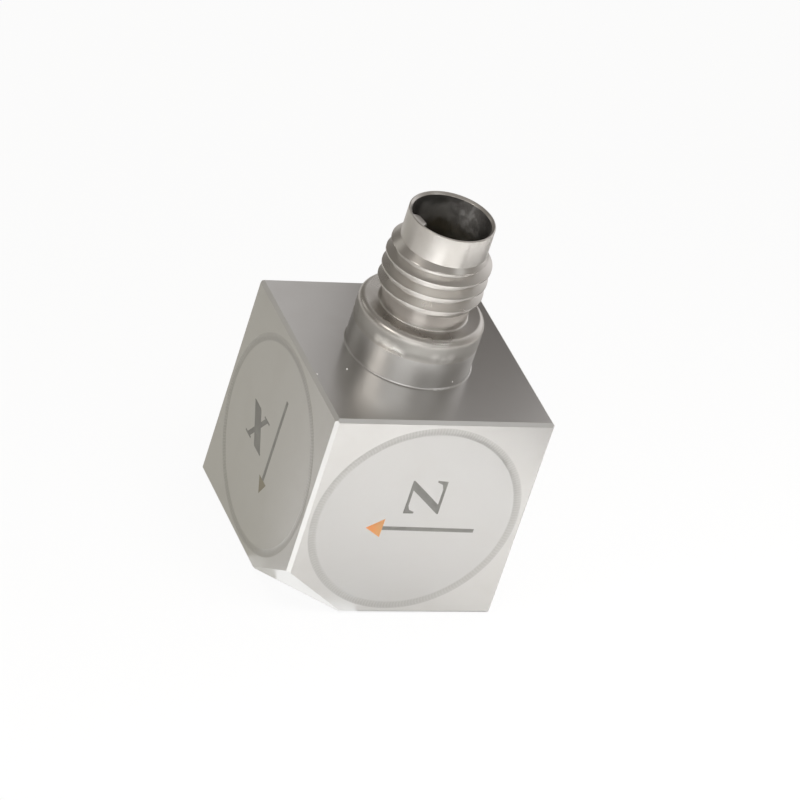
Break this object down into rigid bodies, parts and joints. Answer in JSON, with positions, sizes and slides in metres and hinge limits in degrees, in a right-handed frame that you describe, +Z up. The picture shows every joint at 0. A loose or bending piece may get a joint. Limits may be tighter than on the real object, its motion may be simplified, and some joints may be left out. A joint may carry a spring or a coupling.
{
  "type": "triaxial vibration sensor",
  "caption": "Cube-shaped vibration sensor with round welded covers, axis arrows and a threaded pin socket on top; a tapped hole in one side bolts it to a machine.",
  "frame": {"origin": "middle of the bottom face of the cube, on the axis of the socket", "axes": "+Z up through the socket, +X out of the face with the mounting hole, -Y out of the front cover"},
  "size_m": [0.014, 0.014, 0.0236],
  "materials": {
    "housing_metal": "fine ground titanium alloy, satin",
    "cover_metal": "ground titanium alloy with laser-burnt marks",
    "connector_metal": "turned titanium alloy, bright",
    "alumina": "matt white ceramic",
    "electrode_metal": "rolled foil",
    "piezo_ceramic": "lapped ceramic",
    "heavy_metal": "turned tungsten alloy",
    "screw_steel": "plain steel",
    "lead_insulation": "enamelled wire",
    "seal_glass": "dark fused glass",
    "contact_gold": "gold plated",
    "board_laminate": "solder mask",
    "chip_epoxy": "moulded epoxy"
  },
  "bodies": {
    "root": {"housing": "housing_metal", "front_cover": "cover_metal", "left_cover": "cover_metal", "bottom_cover": "cover_metal", "front_insulator": "alumina", "left_insulator": "alumina", "bottom_insulator": "alumina", "front_electrode": "electrode_metal", "left_electrode": "electrode_metal", "bottom_electrode": "electrode_metal", "front_piezo_ring": "piezo_ceramic", "left_piezo_ring": "piezo_ceramic", "bottom_piezo_ring": "piezo_ceramic", "front_seismic_mass": "heavy_metal", "left_seismic_mass": "heavy_metal", "bottom_seismic_mass": "heavy_metal", "front_preload_screw": "screw_steel", "left_preload_screw": "screw_steel", "bottom_preload_screw": "screw_steel", "front_lead": "lead_insulation", "left_lead": "lead_insulation", "bottom_lead": "lead_insulation", "connector_shell": "connector_metal", "glass_seal": "seal_glass", "contact_pin_1": "contact_gold", "contact_pin_2": "contact_gold", "contact_pin_3": "contact_gold", "contact_pin_4": "contact_gold", "circuit_board": "board_laminate", "amplifier_chip_1": "chip_epoxy", "amplifier_chip_2": "chip_epoxy", "amplifier_chip_3": "chip_epoxy"}
  },
  "joints": []
}
